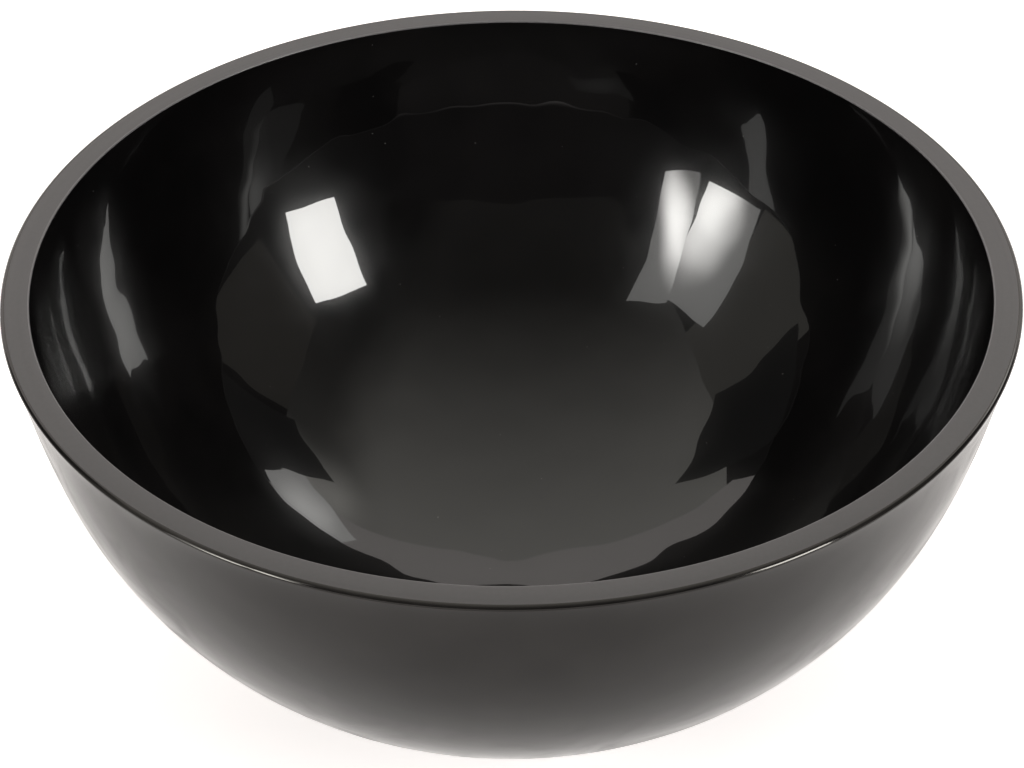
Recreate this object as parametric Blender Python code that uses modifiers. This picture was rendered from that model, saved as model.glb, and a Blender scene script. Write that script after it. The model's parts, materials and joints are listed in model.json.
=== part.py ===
"""Polished stone bowl on four rubber foot pads.

Metres, +Z up. The origin is the middle of the footprint, on the surface that the bowl
stands on. The bowl is one turned block of stone: a nearly flat rim, a wall that leans in
below the rim and rounds over to a flat base, and a smooth round hollow. Four thin rubber pads
are stuck under the base.
"""
import math

import bpy

# Bowl
RIM_DIAMETER = 0.300
OVERALL_HEIGHT = 0.135
RIM_WIDTH = 0.0085
BASE_DIAMETER = 0.090
FLOOR_THICKNESS = 0.0083
RIM_FALL = 0.0003  # how much lower the rim is at its outer edge than at its inner edge
OUTER_ARRIS = 0.0015  # radius of the rounded edge outside the rim
OUTER_ARRIS_END = math.radians(18.0)  # where it stops, from level, at a corner with the wall
INNER_ARRIS = 0.0005  # radius of the small rounded edge inside the rim

# Outer wall: how far it leans from upright at the rim, how far it rises from level at
# the base, and how long each end holds its direction
OUTER_RIM_LEAN = math.radians(18.0)
OUTER_BASE_RISE = math.radians(18.0)
OUTER_RIM_HOLD = 0.025
OUTER_BASE_HOLD = 0.101

# Hollow: the same for its wall at the rim and for its floor, which is level in the middle
INNER_RIM_LEAN = math.radians(3.5)
INNER_RIM_HOLD = 0.0324
INNER_FLOOR_HOLD = 0.1055

# Foot pads
PAD_DIAMETER = 0.012
PAD_THICKNESS = 0.0018
PAD_EDGE = 0.0005  # radius of the rounded edge that meets the table
PAD_CIRCLE_RADIUS = 0.034
ADHESIVE_GAP = 0.0003  # the glue film between a pad and the stone

# Facets
BOWL_SEGMENTS = 72
WALL_STEPS = 14
OUTER_ARRIS_STEPS = 4
INNER_ARRIS_STEPS = 2
PAD_SEGMENTS = 32
PAD_EDGE_STEPS = 3
MERGE_DISTANCE = 0.00001

# Sizes that follow
RIM_RADIUS = RIM_DIAMETER / 2
BASE_HEIGHT = PAD_THICKNESS + ADHESIVE_GAP

PAD_PLACES = {
    "foot_pad_front_right": math.radians(-45.0),
    "foot_pad_back_right": math.radians(45.0),
    "foot_pad_back_left": math.radians(135.0),
    "foot_pad_front_left": math.radians(-135.0),
}

STONE_COLOUR = (0.012, 0.012, 0.013, 1.0)
STONE_ROUGHNESS = 0.15
RUBBER_COLOUR = (0.020, 0.020, 0.021, 1.0)
RUBBER_ROUGHNESS = 0.8


def clear_scene():
    """Removes whatever the scene holds."""
    for obj in list(bpy.data.objects):
        bpy.data.objects.remove(obj, do_unlink=True)


def make_material(name, colour, roughness):
    """A plain surface of one colour."""
    material = bpy.data.materials.new(name)
    material.use_nodes = True
    surface = material.node_tree.nodes["Principled BSDF"]
    surface.inputs["Base Color"].default_value = colour
    surface.inputs["Roughness"].default_value = roughness
    surface.inputs["Metallic"].default_value = 0.0
    material.diffuse_color = colour
    return material


def cubic_curve(start, start_handle, end_handle, end, steps):
    """Points along a cubic curve in the (radius, height) plane, both ends included."""
    points = []
    for i in range(steps + 1):
        t = i / steps
        weights = ((1 - t) ** 3, 3 * (1 - t) ** 2 * t, 3 * (1 - t) * t**2, t**3)
        corners = (start, start_handle, end_handle, end)
        points.append(tuple(sum(w * c[k] for w, c in zip(weights, corners)) for k in (0, 1)))
    return points


def arc(centre, radius, first, last, steps):
    """Points along an arc in the (radius, height) plane, both ends included."""
    points = []
    for i in range(steps + 1):
        angle = first + (last - first) * i / steps
        points.append((centre[0] + radius * math.cos(angle), centre[1] + radius * math.sin(angle)))
    return points


def outer_arris():
    """The rounded edge from the rim to the corner where the outer wall begins to lean in."""
    centre = (
        RIM_RADIUS - OUTER_ARRIS * math.cos(OUTER_ARRIS_END),
        OVERALL_HEIGHT - RIM_FALL - OUTER_ARRIS,
    )
    return arc(centre, OUTER_ARRIS, math.pi / 2, OUTER_ARRIS_END, OUTER_ARRIS_STEPS)


def outer_wall():
    """The outside of the bowl, from under the rim's edge down to the flat base."""
    start = outer_arris()[-1]
    end = (BASE_DIAMETER / 2, BASE_HEIGHT)
    start_handle = (
        start[0] - OUTER_RIM_HOLD * math.sin(OUTER_RIM_LEAN),
        start[1] - OUTER_RIM_HOLD * math.cos(OUTER_RIM_LEAN),
    )
    end_handle = (
        end[0] + OUTER_BASE_HOLD * math.cos(OUTER_BASE_RISE),
        end[1] + OUTER_BASE_HOLD * math.sin(OUTER_BASE_RISE),
    )
    return cubic_curve(start, start_handle, end_handle, end, WALL_STEPS)


def inner_arris():
    """The small rounded edge from the hollow's wall up to the flat rim."""
    centre = (RIM_RADIUS - RIM_WIDTH + INNER_ARRIS, OVERALL_HEIGHT - INNER_ARRIS)
    return arc(centre, INNER_ARRIS, math.pi - INNER_RIM_LEAN, math.pi / 2, INNER_ARRIS_STEPS)


def inner_wall():
    """The hollow, from the middle of its floor up to the rim's inner edge."""
    start = (0.0, BASE_HEIGHT + FLOOR_THICKNESS)
    end = inner_arris()[0]
    start_handle = (INNER_FLOOR_HOLD, start[1])
    end_handle = (
        end[0] - INNER_RIM_HOLD * math.sin(INNER_RIM_LEAN),
        end[1] - INNER_RIM_HOLD * math.cos(INNER_RIM_LEAN),
    )
    return cubic_curve(start, start_handle, end_handle, end, WALL_STEPS)


def bowl_outline():
    """The bowl's whole section: floor, hollow, rim, outer wall and base."""
    walls = inner_wall()[:-1] + inner_arris() + outer_arris()[:-1] + outer_wall()
    return walls + [(0.0, BASE_HEIGHT)]


def pad_outline():
    """A foot pad's section: a flat top and a flat foot with a rounded edge."""
    radius = PAD_DIAMETER / 2
    edge = arc((radius - PAD_EDGE, PAD_EDGE), PAD_EDGE, 0.0, -math.pi / 2, PAD_EDGE_STEPS)
    return [(0.0, PAD_THICKNESS), (radius, PAD_THICKNESS)] + edge + [(0.0, 0.0)]


def outline_mesh(name, outline):
    """A mesh of one open line at +X, which runs down the outer side of the shape."""
    mesh = bpy.data.meshes.new(name)
    points = [(radius, 0.0, height) for radius, height in outline]
    edges = [(i, i + 1) for i in range(len(points) - 1)]
    mesh.from_pydata(points, edges, [])
    return mesh


def turned_object(name, mesh, segments, collection):
    """An object that turns its outline once round its own Z axis."""
    obj = bpy.data.objects.new(name, mesh)
    collection.objects.link(obj)
    screw = obj.modifiers.new("turn", "SCREW")
    screw.axis = "Z"
    screw.angle = 2 * math.pi
    screw.steps = segments
    screw.render_steps = segments
    screw.use_merge_vertices = True
    screw.merge_threshold = MERGE_DISTANCE
    screw.use_smooth_shade = True
    return obj


def make_bowl(collection, frame):
    """The bowl itself, one piece of stone."""
    mesh = outline_mesh("bowl_body", bowl_outline())
    mesh.materials.append(make_material("polished_stone", STONE_COLOUR, STONE_ROUGHNESS))
    bowl = turned_object("bowl_body", mesh, BOWL_SEGMENTS, collection)
    bowl.parent = frame


def make_pads(collection, frame):
    """Four equal pads on a circle under the base."""
    mesh = outline_mesh("foot_pad", pad_outline())
    mesh.materials.append(make_material("pad_rubber", RUBBER_COLOUR, RUBBER_ROUGHNESS))
    for name, angle in PAD_PLACES.items():
        pad = turned_object(name, mesh, PAD_SEGMENTS, collection)
        pad.location = (PAD_CIRCLE_RADIUS * math.cos(angle), PAD_CIRCLE_RADIUS * math.sin(angle), 0.0)
        pad.parent = frame


def main():
    """Builds the whole bowl."""
    clear_scene()
    collection = bpy.data.collections.new("stone_bowl")
    bpy.context.scene.collection.children.link(collection)
    frame = bpy.data.objects.new("bowl_frame", None)
    collection.objects.link(frame)
    make_bowl(collection, frame)
    make_pads(collection, frame)


main()
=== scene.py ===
"""The looks of a black stone bowl: polished hollow, honed rim, satin outside, rubber pads.

Metres, +Z up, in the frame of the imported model: the origin is the middle of the footprint,
on the surface that the bowl stands on.
"""
import json
import logging
import math
from dataclasses import dataclass, field
from enum import Enum, IntEnum
from typing import Any, NamedTuple

import bpy
from mathutils import Matrix, Vector


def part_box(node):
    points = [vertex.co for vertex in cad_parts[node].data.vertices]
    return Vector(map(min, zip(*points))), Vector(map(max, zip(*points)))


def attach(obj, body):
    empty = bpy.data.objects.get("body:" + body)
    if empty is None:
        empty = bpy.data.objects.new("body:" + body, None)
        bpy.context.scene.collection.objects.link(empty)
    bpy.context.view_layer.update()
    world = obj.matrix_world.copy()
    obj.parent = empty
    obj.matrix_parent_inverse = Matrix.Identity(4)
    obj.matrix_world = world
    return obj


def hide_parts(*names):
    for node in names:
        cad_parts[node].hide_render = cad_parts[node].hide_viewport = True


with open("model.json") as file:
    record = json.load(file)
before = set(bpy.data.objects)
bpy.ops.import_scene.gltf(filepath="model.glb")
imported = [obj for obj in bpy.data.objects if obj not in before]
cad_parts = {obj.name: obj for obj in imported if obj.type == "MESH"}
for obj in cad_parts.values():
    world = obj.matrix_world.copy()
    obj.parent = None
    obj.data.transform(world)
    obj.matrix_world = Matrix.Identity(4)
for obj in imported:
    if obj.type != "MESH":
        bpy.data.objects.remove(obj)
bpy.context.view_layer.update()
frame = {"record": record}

LOG = logging.getLogger("stone_bowl")
BODY = "root"
BOWL_NODE = "bowl_body"
FULL_TURN = 2 * math.pi
MERGE_DISTANCE = 0.00001
ZONE_TOLERANCE = 0.1

Colour = tuple[float, float, float]
Pair = tuple[float, float]
Triple = tuple[float, float, float]

NOISE_MIDDLE = 0.5  # the value that a noise swings about
NOISE_RANGE: Pair = (0.3, 0.7)  # where nearly all the values of a noise fall


class Zone(IntEnum):
    """The differently finished bands of the bowl, in the order of its material slots."""

    HOLLOW = 0
    INNER_EDGE = 1
    RIM = 2
    OUTER_EDGE = 3
    OUTSIDE = 4
    BASE = 5


class Slot(Enum):
    """The record's material slots."""

    STONE = "polished_stone"
    RUBBER = "pad_rubber"


class OutlinePoint(NamedTuple):
    """One point of a turned section.

    The zone is that of the strip of surface that starts here, and the wave is the share
    of the hand-polished waviness that the point takes, from 0 to 1.
    """

    radius: float
    height: float
    zone: int = 0
    wave: float = 0.0


class Bench:
    """Adds nodes to one node tree and wires them as they are added."""

    def __init__(self, tree: bpy.types.NodeTree) -> None:
        """Keeps the tree that the nodes go into."""
        self.tree = tree

    def add(self, kind: str, inputs: dict[Any, Any] | None = None, **settings: Any) -> bpy.types.Node:
        """Adds one node.

        Args:
            kind: The node's type name.
            inputs: Values or output sockets for its inputs, by input name or number.
            settings: The node's own settings, such as its operation.

        Returns:
            The new node.
        """
        node = self.tree.nodes.new(kind)
        for name, value in settings.items():
            setattr(node, name, value)
        self.feed(node, inputs or {})
        return node

    def feed(self, node: bpy.types.Node, inputs: dict[Any, Any]) -> None:
        """Gives a node its inputs.

        Args:
            node: The node.
            inputs: Values or output sockets, by input name or number.
        """
        for key, value in inputs.items():
            self.put(node.inputs[key], value)

    def put(self, socket: bpy.types.NodeSocket, value: Any) -> None:
        """Links an output socket to an input, or sets the input to a plain value."""
        if isinstance(value, bpy.types.NodeSocket):
            self.tree.links.new(value, socket)
        else:
            socket.default_value = value

    def math(self, operation: str, *values: Any) -> bpy.types.NodeSocket:
        """Adds a Math node on these values or sockets and returns its result."""
        return self.add("ShaderNodeMath", dict(enumerate(values)), operation=operation).outputs[0]

    def ramp(self, value: bpy.types.NodeSocket, start: float, end: float,
             low: float = 0.0, high: float = 1.0) -> bpy.types.NodeSocket:
        """Maps a value smoothly from one range to another.

        Args:
            value: The socket to map.
            start: The value that gives low.
            end: The value that gives high.
            low: The result at start and before it.
            high: The result at end and past it.

        Returns:
            The mapped value.
        """
        inputs = {"Value": value, "From Min": start, "From Max": end, "To Min": low, "To Max": high}
        return self.add("ShaderNodeMapRange", inputs, interpolation_type="SMOOTHSTEP").outputs["Result"]


class ShapeBench(Bench):
    """Adds the nodes of one geometry tree."""

    def whole(self, operation: str, *values: Any) -> bpy.types.NodeSocket:
        """Adds an Integer Math node on these values or sockets and returns its result."""
        return self.add("FunctionNodeIntegerMath", dict(enumerate(values)), operation=operation).outputs[0]

    def attribute(self, label: str) -> bpy.types.NodeSocket:
        """A stored number by its name."""
        return self.add("GeometryNodeInputNamedAttribute", {"Name": label}, data_type="FLOAT").outputs[0]

    def sample(self, shape: Any, value: Any, index: Any, kind: str = "FLOAT") -> bpy.types.NodeSocket:
        """A value of another shape's point, by the point's index."""
        return self.add("GeometryNodeSampleIndex", {"Geometry": shape, "Value": value, "Index": index},
                        data_type=kind, domain="POINT").outputs[0]

    def store(self, shape: Any, label: str, domain: str, value: Any) -> bpy.types.NodeSocket:
        """Stores a number on each point or face of a shape."""
        return self.add("GeometryNodeStoreNamedAttribute", {"Geometry": shape, "Name": label, "Value": value},
                        data_type="FLOAT", domain=domain).outputs[0]


class SurfaceBench(Bench):
    """Adds the nodes of one material, round its Principled surface."""

    def __init__(self, name: str) -> None:
        """Starts the material, and takes the surface point in the piece's own coordinates."""
        self.material = bpy.data.materials.new(name)
        self.material.use_nodes = True
        super().__init__(self.material.node_tree)
        self.surface = self.tree.nodes["Principled BSDF"]
        self.place = self.add("ShaderNodeTexCoord").outputs["Object"]

    def dress(self, inputs: dict[str, Any]) -> None:
        """Gives the surface its inputs, each a value or an output socket."""
        self.feed(self.surface, inputs)

    def noise(self, size: float, detail: float = 2.0, roughness: float = 0.5, distortion: float = 0.0,
              place: bpy.types.NodeSocket | None = None) -> bpy.types.NodeSocket:
        """Adds a soft noise.

        Args:
            size: How large its patches are.
            detail: How many finer layers it has.
            roughness: How strong the finer layers are.
            distortion: How far its patches are pulled about.
            place: The point to take it at, or none for the surface point.

        Returns:
            The noise.
        """
        inputs = {"Vector": self.place if place is None else place, "Scale": 1 / size,
                  "Detail": detail, "Roughness": roughness, "Distortion": distortion}
        return self.add("ShaderNodeTexNoise", inputs).outputs["Fac"]

    def bump(self, height: bpy.types.NodeSocket, depth: float) -> bpy.types.NodeSocket:
        """Adds a bump of this depth and returns the bent normal."""
        inputs = {"Strength": 1.0, "Distance": depth, "Height": height}
        return self.add("ShaderNodeBump", inputs).outputs["Normal"]

    def blend(self, share: Any, first: Any, second: Any) -> bpy.types.NodeSocket:
        """Mixes two colours by a share and returns the mix."""
        node = self.add("ShaderNodeMix", data_type="RGBA")
        sockets = [s for s in node.inputs if s.identifier in ("Factor_Float", "A_Color", "B_Color")]
        for socket, value in zip(sockets, (share, first, second)):
            self.put(socket, value)
        return next(s for s in node.outputs if s.identifier == "Result_Color")

    def weighted(self, values: tuple[bpy.types.NodeSocket, ...],
                 shares: tuple[float, ...]) -> bpy.types.NodeSocket:
        """Adds up some values, each times its own share."""
        parts = [self.math("MULTIPLY", value, share) for value, share in zip(values, shares)]
        total = parts[0]
        for part in parts[1:]:
            total = self.math("ADD", total, part)
        return total

    def distance_from_axis(self) -> bpy.types.NodeSocket:
        """How far the surface point is from the bowl's axis."""
        axes = self.add("ShaderNodeSeparateXYZ", {"Vector": self.place}).outputs
        level = self.add("ShaderNodeCombineXYZ", {0: axes["X"], 1: axes["Y"]}).outputs["Vector"]
        return self.add("ShaderNodeVectorMath", {0: level}, operation="LENGTH").outputs["Value"]

    def rings(self, length: float, pitch: float) -> bpy.types.NodeSocket:
        """Coordinates that make a noise run in long fine rings round the bowl's axis.

        Args:
            length: How long a ring mark runs.
            pitch: How far apart the ring marks are.

        Returns:
            The noise's coordinates.
        """
        axes = self.add("ShaderNodeSeparateXYZ", {"Vector": self.place}).outputs
        profile = self.math("ADD", self.distance_from_axis(), axes["Z"])
        ring = {0: self.math("DIVIDE", axes["X"], length), 1: self.math("DIVIDE", axes["Y"], length),
                2: self.math("DIVIDE", profile, pitch)}
        return self.add("ShaderNodeCombineXYZ", ring).outputs["Vector"]


def rgba(colour: Colour) -> tuple[float, float, float, float]:
    """The colour with full cover."""
    return (*colour, 1.0)


def cubic_curve(start: Pair, start_handle: Pair, end_handle: Pair, end: Pair, steps: int) -> list[Pair]:
    """Points along a cubic curve in the (radius, height) plane.

    Args:
        start: The first point.
        start_handle: The point that the curve leaves towards.
        end_handle: The point that the curve arrives from.
        end: The last point.
        steps: How many stretches the curve is cut into.

    Returns:
        The points, both ends included.
    """
    points = []
    for i in range(steps + 1):
        t = i / steps
        weights = ((1 - t) ** 3, 3 * (1 - t) ** 2 * t, 3 * (1 - t) * t**2, t**3)
        corners = (start, start_handle, end_handle, end)
        points.append(tuple(sum(w * c[k] for w, c in zip(weights, corners)) for k in (0, 1)))
    return points


def arc(centre: Pair, radius: float, first: float, last: float, steps: int) -> list[Pair]:
    """Points along an arc in the (radius, height) plane.

    Args:
        centre: The arc's centre.
        radius: The arc's radius.
        first: The angle of the first point, in radians from the radius axis.
        last: The angle of the last point.
        steps: How many stretches the arc is cut into.

    Returns:
        The points, both ends included.
    """
    points = []
    for i in range(steps + 1):
        angle = first + (last - first) * i / steps
        points.append((centre[0] + radius * math.cos(angle), centre[1] + radius * math.sin(angle)))
    return points


def straight(start: Pair, end: Pair, steps: int) -> list[Pair]:
    """Evenly spaced points along a straight line, both ends included."""
    return [tuple(a + (b - a) * i / steps for a, b in zip(start, end)) for i in range(steps + 1)]


def spread(value: float, share: float) -> Pair:
    """The values a share below and a share above this one."""
    return value * (1 - share), value * (1 + share)


def smooth(value: float, start: float, end: float) -> float:
    """0 at start, 1 at end, and a smooth rise between them."""
    t = min(max((value - start) / (end - start), 0.0), 1.0)
    return t * t * (3 - 2 * t)


# ------------------------------------------------------------------ finishes


@dataclass(frozen=True)
class PolishedStone:
    """Near-black stone at a mirror gloss: cloudy depths, stray pale grains, a faint haze."""

    name: str = "polished_black_stone"
    deep: Colour = (0.0019, 0.0017, 0.0018)
    cloudy: Colour = (0.0046, 0.0041, 0.0042)
    cloud_size: float = 0.055
    cloud_range: Pair = (0.35, 0.70)
    grain: Colour = (0.16, 0.155, 0.15)
    grain_spacing: float = 0.0042
    grain_radius: float = 0.00022
    grain_share: float = 0.30
    gloss_roughness: float = 0.012
    gloss_ior: float = 1.5
    haze_roughness: float = 0.19
    haze_spread: float = 0.15
    haze_level: float = 0.15
    wipe_size: float = 0.030
    scuff_size: float = 0.0010
    scuff_depth: float = 0.000008

    def make(self) -> bpy.types.Material:
        """Builds the material."""
        bench = SurfaceBench(self.name)
        cloud = bench.noise(self.cloud_size, detail=5.0, roughness=0.6)
        stone = bench.blend(bench.ramp(cloud, *self.cloud_range), rgba(self.deep), rgba(self.cloudy))
        colour = bench.blend(self.grains(bench), stone, rgba(self.grain))
        wipe = bench.noise(self.wipe_size, detail=4.0, roughness=0.65)
        scuff = bench.noise(self.scuff_size, detail=1.0)
        bench.dress({
            "Base Color": colour,
            "Roughness": bench.ramp(wipe, *NOISE_RANGE, *spread(self.haze_roughness, self.haze_spread)),
            "Normal": bench.bump(scuff, self.scuff_depth),
            "Specular IOR Level": self.haze_level,
            "Coat Weight": 1.0,
            "Coat Roughness": self.gloss_roughness,
            "Coat IOR": self.gloss_ior,
        })
        return bench.material

    def grains(self, bench: SurfaceBench) -> bpy.types.NodeSocket:
        """Scatters tiny pale mineral grains.

        Args:
            bench: The material's node bench.

        Returns:
            1 on a grain and 0 elsewhere.
        """
        cells = bench.add("ShaderNodeTexVoronoi", {"Vector": bench.place, "Scale": 1 / self.grain_spacing})
        pick = bench.add("ShaderNodeSeparateColor", {"Color": cells.outputs["Color"]})
        size = bench.math("MULTIPLY", pick.outputs["Green"], self.grain_radius / self.grain_spacing)
        inside = bench.math("LESS_THAN", cells.outputs["Distance"], size)
        chosen = bench.math("LESS_THAN", pick.outputs["Red"], self.grain_share)
        return bench.math("MULTIPLY", inside, chosen)


@dataclass(frozen=True)
class HonedStone:
    """The same stone left at a honed grey, with fine grain and turning marks round the axis.

    The tone is made of grain, patches and turning marks, and the relief of grain and turning
    marks, by the shares given here. The tone falls off towards the rim's outer edge.
    """

    name: str = "honed_black_stone"
    dark: Colour = (0.0222, 0.0204, 0.0216)
    light: Colour = (0.0310, 0.0285, 0.0302)
    grain_size: float = 0.0011
    patch_size: float = 0.050
    ring_pitch: float = 0.0007
    ring_length: float = 0.12
    roughness: float = 0.38
    roughness_spread: float = 0.10
    specular_level: float = 0.84
    mark_depth: float = 0.000012
    tone_shares: Triple = (0.45, 0.30, 0.25)
    relief_shares: Pair = (0.6, 0.4)
    tone_range: Pair = (0.30, 0.60)
    shade_range: Pair = (0.1415, 0.150)
    shade: float = 0.12

    def make(self) -> bpy.types.Material:
        """Builds the material."""
        bench = SurfaceBench(self.name)
        grain = bench.noise(self.grain_size, detail=3.0, roughness=0.7)
        patch = bench.noise(self.patch_size, detail=3.0)
        rings = bench.rings(self.ring_length, self.ring_pitch)
        marks = bench.noise(1.0, detail=3.0, roughness=0.6, place=rings)
        shade = bench.ramp(bench.distance_from_axis(), *self.shade_range, 0.0, self.shade)
        tone = bench.math("SUBTRACT", bench.weighted((grain, patch, marks), self.tone_shares), shade)
        colour = bench.blend(bench.ramp(tone, *self.tone_range), rgba(self.dark), rgba(self.light))
        relief = bench.weighted((grain, marks), self.relief_shares)
        bench.dress({
            "Base Color": colour,
            "Roughness": bench.ramp(marks, *NOISE_RANGE, *spread(self.roughness, self.roughness_spread)),
            "Normal": bench.bump(relief, self.mark_depth),
            "Specular IOR Level": self.specular_level,
        })
        return bench.material


@dataclass(frozen=True)
class SatinStone:
    """The outside: near-black with a soft warm sheen and faint smudges."""

    name: str = "satin_black_stone"
    deep: Colour = (0.0045, 0.0041, 0.0041)
    cloudy: Colour = (0.0095, 0.0087, 0.0085)
    cloud_size: float = 0.035
    cloud_range: Pair = (0.35, 0.68)
    smudge_size: float = 0.022
    smudge_pull: float = 0.8
    smudge_range: Pair = (0.35, 0.70)
    clean_roughness: float = 0.13
    smudged_roughness: float = 0.24
    specular_level: float = 0.155
    sheen_tint: Colour = (1.0, 0.96, 0.91)
    grain_size: float = 0.0009
    grain_depth: float = 0.000004

    def make(self) -> bpy.types.Material:
        """Builds the material."""
        bench = SurfaceBench(self.name)
        cloud = bench.noise(self.cloud_size, detail=5.0, roughness=0.6)
        colour = bench.blend(bench.ramp(cloud, *self.cloud_range), rgba(self.deep), rgba(self.cloudy))
        smudge = bench.noise(self.smudge_size, detail=4.0, roughness=0.6, distortion=self.smudge_pull)
        grain = bench.noise(self.grain_size)
        bench.dress({
            "Base Color": colour,
            "Roughness": bench.ramp(smudge, *self.smudge_range, self.clean_roughness, self.smudged_roughness),
            "Normal": bench.bump(grain, self.grain_depth),
            "Specular IOR Level": self.specular_level,
            "Specular Tint": rgba(self.sheen_tint),
        })
        return bench.material


@dataclass(frozen=True)
class MouldedRubber:
    """Black moulded rubber with a fine matt skin and a little dust."""

    name: str = "moulded_rubber"
    clean: Colour = (0.016, 0.016, 0.017)
    dusty: Colour = (0.040, 0.039, 0.038)
    skin_size: float = 0.0006
    skin_depth: float = 0.00002
    dust_size: float = 0.004
    dust_range: Pair = (0.45, 0.75)
    roughness: float = 0.78
    roughness_spread: float = 0.10

    def make(self) -> bpy.types.Material:
        """Builds the material."""
        bench = SurfaceBench(self.name)
        dust = bench.noise(self.dust_size, detail=4.0, roughness=0.65)
        colour = bench.blend(bench.ramp(dust, *self.dust_range), rgba(self.clean), rgba(self.dusty))
        skin = bench.noise(self.skin_size)
        bench.dress({
            "Base Color": colour,
            "Roughness": bench.ramp(dust, *NOISE_RANGE, *spread(self.roughness, self.roughness_spread)),
            "Normal": bench.bump(skin, self.skin_depth),
        })
        return bench.material


@dataclass(frozen=True)
class PaleFloor:
    """Plain pale studio floor, slightly uneven in tone, that melts into the pale surroundings."""

    glow: Colour
    horizon: float
    name: str = "pale_floor"
    dark: Colour = (0.85, 0.85, 0.85)
    light: Colour = (0.88, 0.88, 0.88)
    patch_size: float = 0.8
    roughness: float = 0.9
    near_glow: float = 0.68
    melt_range: Pair = (0.30, 1.30)

    def make(self) -> bpy.types.Material:
        """Builds the material."""
        bench = SurfaceBench(self.name)
        colour = bench.blend(bench.noise(self.patch_size), rgba(self.dark), rgba(self.light))
        bench.dress({
            "Base Color": colour,
            "Roughness": self.roughness,
            "Specular IOR Level": 0.0,
            "Emission Color": rgba(self.glow),
            "Emission Strength": self.near_glow,
        })
        far = bench.add("ShaderNodeEmission", {"Color": rgba(self.glow), "Strength": self.horizon}).outputs[0]
        reach = bench.add("ShaderNodeVectorMath", {0: bench.place}, operation="LENGTH").outputs["Value"]
        share = bench.ramp(reach, *self.melt_range)
        mixed = bench.add("ShaderNodeMixShader", {0: share, 1: bench.surface.outputs[0], 2: far}).outputs[0]
        output = next(node for node in bench.tree.nodes if node.type == "OUTPUT_MATERIAL")
        bench.feed(output, {"Surface": mixed})
        return bench.material


# ------------------------------------------------------------------ turning


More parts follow.
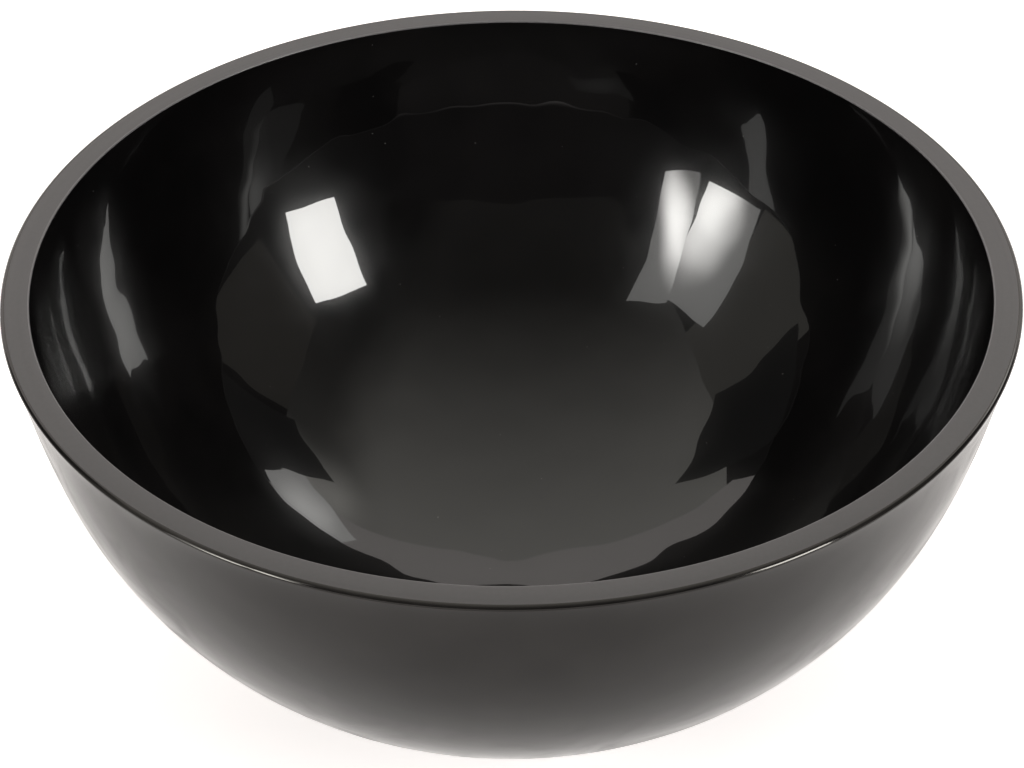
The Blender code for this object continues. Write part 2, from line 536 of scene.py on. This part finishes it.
@dataclass(frozen=True)
class Lathe:
    """Turns an outline round an axis with geometry nodes, and adds hand-polished waves."""

    segments: int
    finishes: dict[int, bpy.types.Material]
    wave_height: float = 0.0
    wave_size: float = 0.03
    wave_detail: float = 1.0
    wave_roughness: float = 0.35
    seed: float = 0.0
    axis_at: Pair = (0.0, 0.0)

    def turn(self, name: str, outline: list[OutlinePoint]) -> bpy.types.Object:
        """Makes one finished piece.

        Args:
            name: The piece's name.
            outline: Its section, down the outer side, with both ends on the axis.

        Returns:
            The piece, a plain mesh with no modifiers, at the origin.
        """
        blank = self.blank(name, outline)
        tree, sockets = self.tree()
        modifier = blank.modifiers.new("lathe", "NODES")
        modifier.node_group = tree
        values = {"Segments": self.segments, "Wave Height": self.wave_height,
                  "Wave Size": self.wave_size, "Seed": self.seed, "Axis": (*self.axis_at, 0.0)}
        for zone, material in self.finishes.items():
            values[f"Finish {zone}"] = material
        for label, value in values.items():
            modifier[sockets[label]] = value
        evaluated = blank.evaluated_get(bpy.context.evaluated_depsgraph_get())
        mesh = bpy.data.meshes.new_from_object(evaluated)
        bpy.data.objects.remove(blank, do_unlink=True)
        mesh.name = name
        piece = bpy.data.objects.new(name, mesh)
        bpy.context.scene.collection.objects.link(piece)
        return piece

    def blank(self, name: str, outline: list[OutlinePoint]) -> bpy.types.Object:
        """The outline as an object of edges, with each point's zone and wave stored on it."""
        mesh = bpy.data.meshes.new(name + "_outline")
        places = [(point.radius, 0.0, point.height) for point in outline]
        mesh.from_pydata(places, [(i, i + 1) for i in range(len(places) - 1)], [])
        stored = {"zone": [float(point.zone) for point in outline], "wave": [point.wave for point in outline]}
        for label, values in stored.items():
            mesh.attributes.new(label, "FLOAT", "POINT").data.foreach_set("value", values)
        obj = bpy.data.objects.new(name + "_outline", mesh)
        bpy.context.scene.collection.objects.link(obj)
        return obj

    def tree(self) -> tuple[bpy.types.NodeTree, dict[str, str]]:
        """Builds the geometry node tree.

        Returns:
            The tree, and the identifier of each of its named inputs.
        """
        tree = bpy.data.node_groups.new("lathe", "GeometryNodeTree")
        wanted = [("Outline", "NodeSocketGeometry"), ("Segments", "NodeSocketInt"),
                  ("Wave Height", "NodeSocketFloat"), ("Wave Size", "NodeSocketFloat"),
                  ("Seed", "NodeSocketFloat"), ("Axis", "NodeSocketVector")]
        wanted += [(f"Finish {zone}", "NodeSocketMaterial") for zone in self.finishes]
        sockets = {label: tree.interface.new_socket(label, in_out="INPUT", socket_type=kind).identifier
                   for label, kind in wanted}
        tree.interface.new_socket("Piece", in_out="OUTPUT", socket_type="NodeSocketGeometry")
        bench = ShapeBench(tree)
        source = bench.add("NodeGroupInput").outputs
        shape = self.turned(bench, source)
        shape = self.waved(bench, source, shape)
        shape = bench.add("GeometryNodeSetShadeSmooth", {"Geometry": shape}).outputs["Geometry"]
        shape = bench.add("GeometryNodeTransform", {"Geometry": shape,
                                                    "Translation": source["Axis"]}).outputs[0]
        shape = bench.add("GeometryNodeRealizeInstances", {"Geometry": shape}).outputs["Geometry"]
        zone = bench.attribute("zone")
        for number in self.finishes:
            inside = bench.add("FunctionNodeCompare", {0: zone, 1: float(number), "Epsilon": ZONE_TOLERANCE},
                               data_type="FLOAT", operation="EQUAL").outputs[0]
            shape = bench.add("GeometryNodeSetMaterial", {"Geometry": shape, "Selection": inside,
                                                          "Material": source[f"Finish {number}"]}).outputs[0]
        bench.add("NodeGroupOutput", {0: shape})
        return tree, sockets

    def turned(self, bench: ShapeBench, source: Any) -> bpy.types.NodeSocket:
        """Wraps a grid round the axis, one row of it for each point of the outline."""
        outline = source["Outline"]
        rows = bench.add("GeometryNodeAttributeDomainSize", {0: outline}).outputs["Point Count"]
        columns = bench.whole("ADD", source["Segments"], 1)
        grid = bench.add("GeometryNodeMeshGrid", {"Vertices X": columns, "Vertices Y": rows}).outputs["Mesh"]
        index = bench.add("GeometryNodeInputIndex").outputs[0]
        row = bench.whole("MODULO", index, rows)
        column = bench.whole("DIVIDE_FLOOR", index, rows)
        strip = bench.whole("MODULO", index, bench.whole("SUBTRACT", rows, 1))
        zone = bench.sample(outline, bench.attribute("zone"), strip)
        wave = bench.sample(outline, bench.attribute("wave"), row)
        grid = bench.store(grid, "zone", "FACE", zone)
        grid = bench.store(grid, "wave", "POINT", wave)
        point = bench.add("GeometryNodeInputPosition").outputs[0]
        place = bench.sample(outline, point, row, kind="FLOAT_VECTOR")
        axes = bench.add("ShaderNodeSeparateXYZ", {0: place}).outputs
        angle = bench.math("MULTIPLY", bench.math("DIVIDE", column, source["Segments"]), -FULL_TURN)
        turned = {0: bench.math("MULTIPLY", axes["X"], bench.math("COSINE", angle)),
                  1: bench.math("MULTIPLY", axes["X"], bench.math("SINE", angle)), 2: axes["Z"]}
        position = bench.add("ShaderNodeCombineXYZ", turned).outputs[0]
        shape = bench.add("GeometryNodeSetPosition", {"Geometry": grid, "Position": position}).outputs[0]
        return bench.add("GeometryNodeMergeByDistance", {"Geometry": shape,
                                                         "Distance": MERGE_DISTANCE}).outputs[0]

    def waved(self, bench: ShapeBench, source: Any, shape: bpy.types.NodeSocket) -> bpy.types.NodeSocket:
        """Pushes the surface in and out by a slow noise, where the outline asks for it."""
        point = bench.add("GeometryNodeInputPosition").outputs[0]
        rate = bench.math("DIVIDE", 1.0, source["Wave Size"])
        inputs = {"Vector": point, "W": source["Seed"], "Scale": rate, "Detail": self.wave_detail,
                  "Roughness": self.wave_roughness}
        noise = bench.add("ShaderNodeTexNoise", inputs, noise_dimensions="4D").outputs["Fac"]
        swing = bench.math("DIVIDE", bench.math("SUBTRACT", noise, NOISE_MIDDLE), NOISE_MIDDLE)
        reach = bench.math("MULTIPLY", source["Wave Height"], bench.attribute("wave"))
        height = bench.math("MULTIPLY", swing, reach)
        normal = bench.add("GeometryNodeInputNormal").outputs[0]
        offset = bench.add("ShaderNodeVectorMath", {0: normal, "Scale": height}, operation="SCALE").outputs[0]
        return bench.add("GeometryNodeSetPosition", {"Geometry": shape, "Offset": offset}).outputs[0]


# ------------------------------------------------------------------ the bowl's pieces


@dataclass
class StoneBowl:
    """The turned block of stone: hollow, arrises, flat rim, outer wall and flat base."""

    rim_width: float = 0.0085
    base_radius: float = 0.045
    floor_thickness: float = 0.0083
    rim_fall: float = 0.0003
    outer_arris: float = 0.0015
    outer_arris_end: float = math.radians(27.0)
    inner_arris: float = 0.0005
    outer_rim_lean: float = math.radians(18.0)
    outer_base_rise: float = math.radians(18.0)
    outer_rim_hold: float = 0.025
    outer_base_hold: float = 0.101
    inner_rim_lean: float = math.radians(3.5)
    inner_rim_hold: float = 0.0324
    inner_floor_hold: float = 0.1055
    wave_height: float = 0.00018
    wave_size: float = 0.020
    outside_wave: float = 0.5
    wave_fade: float = 0.012
    segments: int = 384
    wall_steps: int = 100
    rim_steps: int = 8
    base_steps: int = 8
    outer_arris_steps: int = 12
    inner_arris_steps: int = 6
    seed: float = 1.2

    rim_radius: float = field(init=False)
    rim_height: float = field(init=False)
    base_height: float = field(init=False)

    def __post_init__(self) -> None:
        """Takes the overall sizes from the CAD node."""
        low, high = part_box(BOWL_NODE)
        self.rim_radius = high.x
        self.rim_height = high.z
        self.base_height = low.z

    def outline(self) -> list[OutlinePoint]:
        """The bowl's whole section: floor, hollow, rim, outer wall and base."""
        hollow = self.inner_wall()
        inner = self.inner_edge()
        outer = self.outer_edge()
        wall = self.outer_wall()
        base = straight(wall[-1], (0.0, self.base_height), self.base_steps)
        points = [OutlinePoint(r, z, Zone.HOLLOW, self.fade(z)) for r, z in hollow[:-1]]
        points += [OutlinePoint(r, z, Zone.INNER_EDGE) for r, z in inner[:-1]]
        points += [OutlinePoint(r, z, Zone.RIM) for r, z in self.crown(inner[-1], outer[0])[:-1]]
        points += [OutlinePoint(r, z, Zone.OUTER_EDGE) for r, z in outer[:-1]]
        points += [OutlinePoint(r, z, Zone.OUTSIDE, self.outside_wave * self.fade(z))
                   for r, z in wall[:-1]]
        points += [OutlinePoint(r, z, Zone.BASE) for r, z in base]
        return points

    def fade(self, height: float) -> float:
        """How much of the waviness is left near the rim and near the base."""
        below_rim = smooth(self.rim_height - height, self.outer_arris, self.wave_fade)
        above_base = smooth(height - self.base_height, 0.0, self.floor_thickness)
        return below_rim * above_base

    def outer_edge(self) -> list[Pair]:
        """The rounded edge from the rim to the sharper corner with the outer wall."""
        radius = self.outer_arris
        centre = (self.rim_radius - radius * math.cos(self.outer_arris_end),
                  self.rim_height - self.rim_fall - radius)
        return arc(centre, radius, math.pi / 2, self.outer_arris_end, self.outer_arris_steps)

    def inner_edge(self) -> list[Pair]:
        """The small rounded edge from the hollow to the rim."""
        centre = (self.rim_radius - self.rim_width + self.inner_arris, self.rim_height - self.inner_arris)
        return arc(centre, self.inner_arris, math.pi - self.inner_rim_lean, math.pi / 2,
                   self.inner_arris_steps)

    def crown(self, inner: Pair, outer: Pair) -> list[Pair]:
        """The rim, level at its inner edge and falling more and more towards its outer edge."""
        points = []
        for i in range(self.rim_steps + 1):
            t = i / self.rim_steps
            points.append((inner[0] + (outer[0] - inner[0]) * t, inner[1] + (outer[1] - inner[1]) * t**2))
        return points

    def outer_wall(self) -> list[Pair]:
        """The outside, from under the rim's edge down to the flat base."""
        start = self.outer_edge()[-1]
        end = (self.base_radius, self.base_height)
        start_handle = (start[0] - self.outer_rim_hold * math.sin(self.outer_rim_lean),
                        start[1] - self.outer_rim_hold * math.cos(self.outer_rim_lean))
        end_handle = (end[0] + self.outer_base_hold * math.cos(self.outer_base_rise),
                      end[1] + self.outer_base_hold * math.sin(self.outer_base_rise))
        return cubic_curve(start, start_handle, end_handle, end, self.wall_steps)

    def inner_wall(self) -> list[Pair]:
        """The hollow, from the middle of its floor up to the rim's inner edge."""
        start = (0.0, self.base_height + self.floor_thickness)
        end = self.inner_edge()[0]
        start_handle = (self.inner_floor_hold, start[1])
        end_handle = (end[0] - self.inner_rim_hold * math.sin(self.inner_rim_lean),
                      end[1] - self.inner_rim_hold * math.cos(self.inner_rim_lean))
        return cubic_curve(start, start_handle, end_handle, end, self.wall_steps)

    def make(self) -> bpy.types.Object:
        """Builds and dresses the piece, and ties it to the CAD bowl."""
        honed = HonedStone().make()
        # The inner rounded edge takes the honed stone painted several times paler: a painted highlight along
        # the inner edge.
        painted_edge_highlight = HonedStone(name="worn_black_stone", dark=(0.095, 0.090, 0.093),
                          light=(0.120, 0.114, 0.118))
        burnished = SatinStone(name="burnished_black_stone", clean_roughness=0.07,
                               smudged_roughness=0.12, specular_level=0.5)
        finishes = {
            Zone.HOLLOW: PolishedStone().make(),
            Zone.INNER_EDGE: painted_edge_highlight.make(),
            Zone.RIM: honed,
            Zone.OUTER_EDGE: burnished.make(),
            Zone.OUTSIDE: SatinStone().make(),
            Zone.BASE: honed,
        }
        lathe = Lathe(self.segments, {int(zone): material for zone, material in finishes.items()},
                      wave_height=self.wave_height, wave_size=self.wave_size, seed=self.seed)
        bowl = lathe.turn("stone_bowl", self.outline())
        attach(bowl, BODY)
        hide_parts(BOWL_NODE)
        return bowl


@dataclass
class FootPad:
    """One round rubber pad with its glue film, in place of one CAD pad."""

    node: str
    edge: float = 0.0005
    film_inset: float = 0.0003
    film_clearance: float = 0.00003
    segments: int = 64
    shoulder_steps: int = 5
    foot_steps: int = 8

    def outline(self) -> list[OutlinePoint]:
        """The pad's section: glue film, flat top, rounded foot edge and flat foot."""
        low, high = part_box(self.node)
        radius = (high.x - low.x) / 2
        film_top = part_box(BOWL_NODE)[0].z - self.film_clearance
        top = high.z
        film = [(0.0, film_top), (radius - self.film_inset, film_top), (radius - self.film_inset, top)]
        soft = self.edge / 2
        shoulder = arc((radius - soft, top - soft), soft, math.pi / 2, 0.0, self.shoulder_steps)
        foot = arc((radius - self.edge, low.z + self.edge), self.edge, 0.0, -math.pi / 2, self.foot_steps)
        return [OutlinePoint(r, z) for r, z in film + shoulder + foot + [(0.0, low.z)]]

    def make(self, rubber: bpy.types.Material) -> bpy.types.Object:
        """Builds the pad and ties it to its CAD node.

        Args:
            rubber: The pad's finish.

        Returns:
            The pad.
        """
        low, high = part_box(self.node)
        middle = (low + high) / 2
        lathe = Lathe(self.segments, {0: rubber}, axis_at=(middle.x, middle.y))
        pad = lathe.turn(self.node + "_rubber", self.outline())
        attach(pad, BODY)
        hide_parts(self.node)
        return pad


# ------------------------------------------------------------------ the studio


class Fade(NamedTuple):
    """A smooth change of strength across a board, by metres from the board's middle."""

    start: float
    end: float
    first: float
    last: float


class Spot(NamedTuple):
    """A brighter patch of a board: where it is, how far it reaches each way, and its strength."""

    across: float
    up: float
    reach_across: float
    reach_up: float
    strength: float


@dataclass(frozen=True)
class Board:
    """A plain glowing board of the studio, given by its middle and its two edges."""

    name: str
    middle: Triple
    across: Triple
    up: Triple
    strength: float
    tint: Colour = (1.0, 0.99, 0.96)
    across_fade: Fade | None = None
    up_fade: Fade | None = None
    spot: Spot | None = None

    def make(self) -> None:
        """Builds the board."""
        across = Vector(self.across) / 2
        up = Vector(self.up) / 2
        mesh = bpy.data.meshes.new(self.name)
        mesh.from_pydata([-across - up, across - up, across + up, up - across], [], [(0, 1, 2, 3)])
        mesh.materials.append(self.glow())
        board = bpy.data.objects.new(self.name, mesh)
        board.location = self.middle
        bpy.context.scene.collection.objects.link(board)

    def glow(self) -> bpy.types.Material:
        """The board's light, with its fades and its brighter patch."""
        material = bpy.data.materials.new(self.name)
        material.use_nodes = True
        material.node_tree.nodes.clear()
        bench = Bench(material.node_tree)
        place = bench.add("ShaderNodeTexCoord").outputs["Object"]
        across = self.along(bench, place, self.across)
        up = self.along(bench, place, self.up)
        strength = self.strength
        if self.spot:
            spot = self.spot
            side = bench.math("DIVIDE", bench.math("SUBTRACT", across, spot.across), spot.reach_across)
            rise = bench.math("DIVIDE", bench.math("SUBTRACT", up, spot.up), spot.reach_up)
            reach = bench.math("ADD", bench.math("MULTIPLY", side, side), bench.math("MULTIPLY", rise, rise))
            strength = bench.ramp(bench.math("SQRT", reach), 0.0, 1.0, spot.strength, self.strength)
        for fade, distance in ((self.across_fade, across), (self.up_fade, up)):
            if fade:
                strength = bench.math("MULTIPLY", strength, bench.ramp(distance, *fade))
        light = bench.add("ShaderNodeEmission", {"Color": rgba(self.tint), "Strength": strength})
        bench.add("ShaderNodeOutputMaterial", {"Surface": light.outputs[0]})
        return material

    def along(self, bench: Bench, place: bpy.types.NodeSocket, edge: Triple) -> bpy.types.NodeSocket:
        """How far a point of the board is from its middle, along one edge."""
        direction = Vector(edge).normalized()
        return bench.add("ShaderNodeVectorMath", {0: place, 1: direction},
                         operation="DOT_PRODUCT").outputs["Value"]


@dataclass(frozen=True)
class Studio:
    """Plain pale floor, plain pale surroundings, and soft boards of light."""

    floor_size: float = 12.0
    room_glow: float = 0.04
    horizon_glow: float = 1.22
    horizon_rise: Pair = (0.080, 0.115)
    glow: Colour = (1.0, 0.945, 0.925)
    boards: tuple[Board, ...] = (
        Board("key_softbox", middle=(2.239, -1.365, 1.434), across=(-0.442, -0.568, 0.154),
              up=(0.317, -0.408, -0.970), strength=17.3),
        Board("fill_softbox_near", middle=(-1.917, -1.658, 1.506), across=(-0.432, 0.231, -0.173),
              up=(-0.377, -0.667, -1.353), strength=2.2, spot=Spot(0.12, 0.20, 0.32, 0.90, 20.0)),
        Board("fill_softbox_far", middle=(-2.317, -1.156, 1.401), across=(-0.369, 0.772, -0.036),
              up=(-0.505, -0.365, -1.277), strength=2.3, spot=Spot(-0.28, 0.42, 0.58, 0.98, 19.0)),
        Board("overhead", middle=(0.225, -1.25, 2.8), across=(5.95, 0.0, 0.0), up=(0.0, 7.3, 0.0),
              strength=0.92, tint=(1.03, 1.0, 0.93), across_fade=Fade(0.9, 2.3, 1.0, 0.25),
              up_fade=Fade(-1.2, 3.2, 0.10, 1.10), spot=Spot(2.80, 3.23, 1.7, 1.2, 7.0)),
        Board("back_wall", middle=(0.0, 2.35, 1.75), across=(5.8, 0.0, 0.0), up=(0.0, 0.0, 2.1),
              strength=1.25, tint=(1.06, 1.0, 0.96)),
        Board("left_wall", middle=(-2.75, -0.2, 1.75), across=(0.0, 1.4, 0.0), up=(0.0, 0.0, 2.1),
              strength=0.38, tint=(1.04, 1.0, 0.91)),
        Board("right_wall", middle=(3.2, -0.1, 1.9), across=(0.0, 1.8, 0.0), up=(0.0, 0.0, 1.8),
              strength=0.2, tint=(1.06, 1.0, 0.90)),
        Board("back_softbox", middle=(1.620, 1.738, 1.798), across=(0.731, -0.682, 0.0),
              up=(-0.195, -0.210, 0.410), strength=2.4, spot=Spot(0.0, 0.0, 0.5, 0.3, 4.2)),
        Board("left_flag", middle=(-1.900, 0.733, 1.559), across=(0.511, 0.902, 0.285),
              up=(0.607, -0.010, 0.872), strength=0.07),
        Board("right_flag", middle=(1.913, 0.928, 1.503), across=(-0.382, 0.556, 0.154),
              up=(-0.511, -0.104, 0.823), strength=0.07),
    )

    def make(self) -> None:
        """Builds the floor, the boards and the surroundings."""
        self.make_floor()
        for board in self.boards:
            board.make()
        self.make_world()

    def make_floor(self) -> None:
        """Builds the floor at the height that the bowl stands on."""
        half = self.floor_size / 2
        mesh = bpy.data.meshes.new("floor")
        corners = [(-half, -half, 0), (half, -half, 0), (half, half, 0), (-half, half, 0)]
        mesh.from_pydata(corners, [], [(0, 1, 2, 3)])
        mesh.materials.append(PaleFloor(glow=self.glow, horizon=self.horizon_glow).make())
        floor = bpy.data.objects.new("floor", mesh)
        bpy.context.scene.collection.objects.link(floor)

    def make_world(self) -> None:
        """Gives the surroundings a pale horizon under a dim room."""
        world = bpy.data.worlds.new("studio")
        world.use_nodes = True
        world.node_tree.nodes.clear()
        bench = Bench(world.node_tree)
        direction = bench.add("ShaderNodeTexCoord").outputs["Generated"]
        rise = bench.add("ShaderNodeSeparateXYZ", {0: direction}).outputs["Z"]
        strength = bench.ramp(rise, *self.horizon_rise, self.horizon_glow, self.room_glow)
        light = bench.add("ShaderNodeBackground", {"Color": rgba(self.glow), "Strength": strength})
        bench.add("ShaderNodeOutputWorld", {"Surface": light.outputs[0]})
        bpy.context.scene.world = world


@dataclass(frozen=True)
class CameraStand:
    """The camera, aimed a little below the middle of the rim."""

    distance: float = 0.900
    elevation: float = math.radians(35.4)
    dip: float = math.radians(2.18)
    roll: float = math.radians(-0.4)
    lens: float = 107.0
    sensor: float = 36.0

    def make(self) -> bpy.types.Object:
        """Builds the camera and makes it the scene's."""
        data = bpy.data.cameras.new("camera")
        data.lens = self.lens
        data.sensor_width = self.sensor
        camera = bpy.data.objects.new("camera", data)
        rim = Vector((0.0, 0.0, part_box(BOWL_NODE)[1].z))
        back = Vector((0.0, -math.cos(self.elevation), math.sin(self.elevation)))
        tilt = Matrix.Rotation(math.pi / 2 - self.elevation - self.dip, 4, "X")
        camera.matrix_world = (Matrix.Translation(rim + back * self.distance) @ tilt
                               @ Matrix.Rotation(self.roll, 4, "Z"))
        bpy.context.scene.collection.objects.link(camera)
        bpy.context.scene.camera = camera
        return camera


def pad_nodes() -> list[str]:
    """The names of the CAD nodes that are foot pads."""
    return sorted(entry["node"] for entry in frame["record"]["subparts"] if entry["node"] != BOWL_NODE)


def report(piece: bpy.types.Object) -> None:
    """Logs one finished piece."""
    LOG.info("%s: %d faces", piece.name, len(piece.data.polygons))


def main() -> None:
    """Builds the bowl, its pads, the studio and the camera."""
    logging.basicConfig(level=logging.INFO)
    bpy.context.scene.view_settings.view_transform = "Standard"
    report(StoneBowl().make())
    rubber = MouldedRubber().make()
    for node in pad_nodes():
        report(FootPad(node).make(rubber))
    Studio().make()
    CameraStand().make()


if __name__ == "__main__":
    main()
